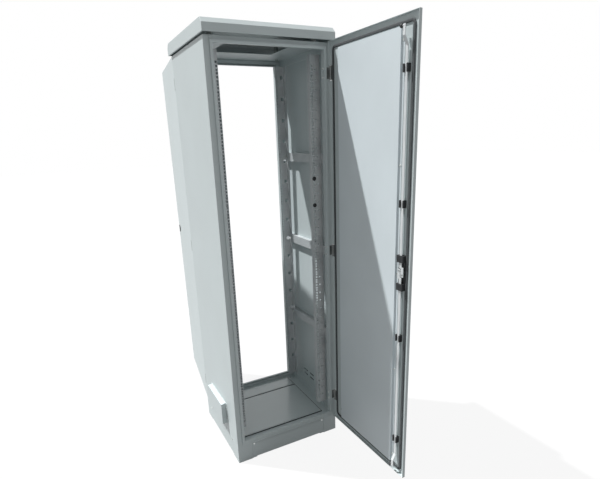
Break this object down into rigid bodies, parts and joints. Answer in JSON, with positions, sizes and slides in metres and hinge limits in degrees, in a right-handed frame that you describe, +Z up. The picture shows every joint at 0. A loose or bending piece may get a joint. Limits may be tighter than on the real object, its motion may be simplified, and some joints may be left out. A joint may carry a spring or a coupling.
{
  "type": "roadside utility cabinet",
  "caption": "Tall outdoor sheet-steel equipment cabinet with rack rails, plinth, canopy roof and side rain hoods; front and rear doors with rod locks stand open.",
  "frame": {"origin": "middle of the plinth's footprint, on the ground, at the centre of its anchor holes", "axes": "+Z up, the front doorway faces -Y, +X to the right seen from the front"},
  "size_m": [0.654, 1.7439, 2.1265],
  "materials": {
    "grey_paint": "light grey powder coat with a fine orange-peel texture, satin",
    "galvanised_steel": "galvanised sheet, dull with a faint spangle",
    "zinc_steel": "bright zinc plating",
    "black_nylon": "moulded black nylon, fine grain",
    "foam_seal": "foamed-in-place polyurethane skin, matt"
  },
  "bodies": {
    "cabinet": {"base_frame": "grey_paint", "floor_plate": "grey_paint", "cable_plate": "grey_paint", "front_frame": "grey_paint", "rear_frame": "grey_paint", "left_side_panel": "grey_paint", "right_side_panel": "grey_paint", "left_rain_hood": "grey_paint", "right_rain_hood": "grey_paint", "top_plate": "grey_paint", "roof_cover": "grey_paint", "plinth_corners": "grey_paint", "plinth_front_cover": "grey_paint", "plinth_rear_cover": "grey_paint", "plinth_side_covers": "grey_paint", "front_left_rail": "galvanised_steel", "front_right_rail": "galvanised_steel", "rear_left_rail": "galvanised_steel", "rear_right_rail": "galvanised_steel", "left_depth_bars": "galvanised_steel", "right_depth_bars": "galvanised_steel", "body_screws": "zinc_steel", "floor_screws": "zinc_steel", "plinth_screws": "zinc_steel", "rail_bolts": "zinc_steel", "roof_bolts": "zinc_steel", "roof_spacers": "zinc_steel", "front_hinge_brackets": "zinc_steel", "rear_hinge_brackets": "zinc_steel", "cup_washer_screws": "black_nylon", "floor_seals": "foam_seal"},
    "front_door": {"front_door_shell": "grey_paint", "front_door_seal": "foam_seal", "front_door_lining": "grey_paint", "front_lining_screws": "zinc_steel", "front_hinge_leaves": "zinc_steel", "front_rod_guides": "black_nylon", "front_lock_case": "black_nylon", "front_lock_rosette": "black_nylon"},
    "front_key_barrel": {"front_lock_barrel": "zinc_steel", "front_lock_cam": "zinc_steel"},
    "front_upper_lock_rod": {"front_upper_rod": "zinc_steel"},
    "front_upper_wheel": {"front_upper_roller": "black_nylon"},
    "front_lower_lock_rod": {"front_lower_rod": "zinc_steel"},
    "front_lower_wheel": {"front_lower_roller": "black_nylon"},
    "rear_door": {"rear_door_shell": "grey_paint", "rear_door_seal": "foam_seal", "rear_door_lining": "grey_paint", "rear_lining_screws": "zinc_steel", "rear_hinge_leaves": "zinc_steel", "rear_rod_guides": "black_nylon", "rear_lock_case": "black_nylon", "rear_lock_rosette": "black_nylon"},
    "rear_key_barrel": {"rear_lock_barrel": "zinc_steel", "rear_lock_cam": "zinc_steel"},
    "rear_upper_lock_rod": {"rear_upper_rod": "zinc_steel"},
    "rear_upper_wheel": {"rear_upper_roller": "black_nylon"},
    "rear_lower_lock_rod": {"rear_lower_rod": "zinc_steel"},
    "rear_lower_wheel": {"rear_lower_roller": "black_nylon"}
  },
  "joints": [
    {"name": "front_door_swing", "type": "hinge", "parent": "cabinet", "child": "front_door", "pos_m": [0.292, -0.284, 1.08], "axis": [0, 0, 1], "range_deg": [-91, 39]},
    {"name": "front_key_turn", "type": "hinge", "parent": "front_door", "child": "front_key_barrel", "pos_m": [0.30132, -0.81792, 1.09], "axis": [-0.9998, -0.0175, 0], "range_deg": [0, 90]},
    {"name": "front_upper_rod_slide", "type": "slide", "parent": "front_door", "child": "front_upper_lock_rod", "axis": [0, 0, 1], "range_m": [0, 0.016]},
    {"name": "front_upper_roller_spin", "type": "hinge", "parent": "front_upper_lock_rod", "child": "front_upper_wheel", "pos_m": [0.27361, -0.8059, 2.015], "axis": [0.0175, -0.9998, 0], "continuous": true},
    {"name": "front_lower_rod_slide", "type": "slide", "parent": "front_door", "child": "front_lower_lock_rod", "axis": [0, 0, -1], "range_m": [0, 0.016]},
    {"name": "front_lower_roller_spin", "type": "hinge", "parent": "front_lower_lock_rod", "child": "front_lower_wheel", "pos_m": [0.27361, -0.8059, 0.141], "axis": [0.0175, -0.9998, 0], "continuous": true},
    {"name": "rear_door_swing", "type": "hinge", "parent": "cabinet", "child": "rear_door", "pos_m": [-0.292, 0.284, 1.08], "axis": [0, 0, 1], "range_deg": [-83, 47]},
    {"name": "rear_key_turn", "type": "hinge", "parent": "rear_door", "child": "rear_key_barrel", "pos_m": [-0.22692, 0.81402, 1.09], "axis": [0.9925, -0.1219, 0], "range_deg": [0, 90]},
    {"name": "rear_upper_rod_slide", "type": "slide", "parent": "rear_door", "child": "rear_upper_lock_rod", "axis": [0, 0, 1], "range_m": [0, 0.016]},
    {"name": "rear_upper_roller_spin", "type": "hinge", "parent": "rear_upper_lock_rod", "child": "rear_upper_wheel", "pos_m": [-0.20115, 0.79826, 2.015], "axis": [0.1219, 0.9925, 0], "continuous": true},
    {"name": "rear_lower_rod_slide", "type": "slide", "parent": "rear_door", "child": "rear_lower_lock_rod", "axis": [0, 0, -1], "range_m": [0, 0.016]},
    {"name": "rear_lower_roller_spin", "type": "hinge", "parent": "rear_lower_lock_rod", "child": "rear_lower_wheel", "pos_m": [-0.20115, 0.79826, 0.141], "axis": [0.1219, 0.9925, 0], "continuous": true}
  ],
  "couplings": [
    {"joint": "front_key_turn", "follows": "front_upper_rod_slide", "rad_per_m": 98.17},
    {"joint": "front_lower_rod_slide", "follows": "front_upper_rod_slide", "ratio": 1},
    {"joint": "rear_key_turn", "follows": "rear_upper_rod_slide", "rad_per_m": 98.17},
    {"joint": "rear_lower_rod_slide", "follows": "rear_upper_rod_slide", "ratio": 1}
  ]
}
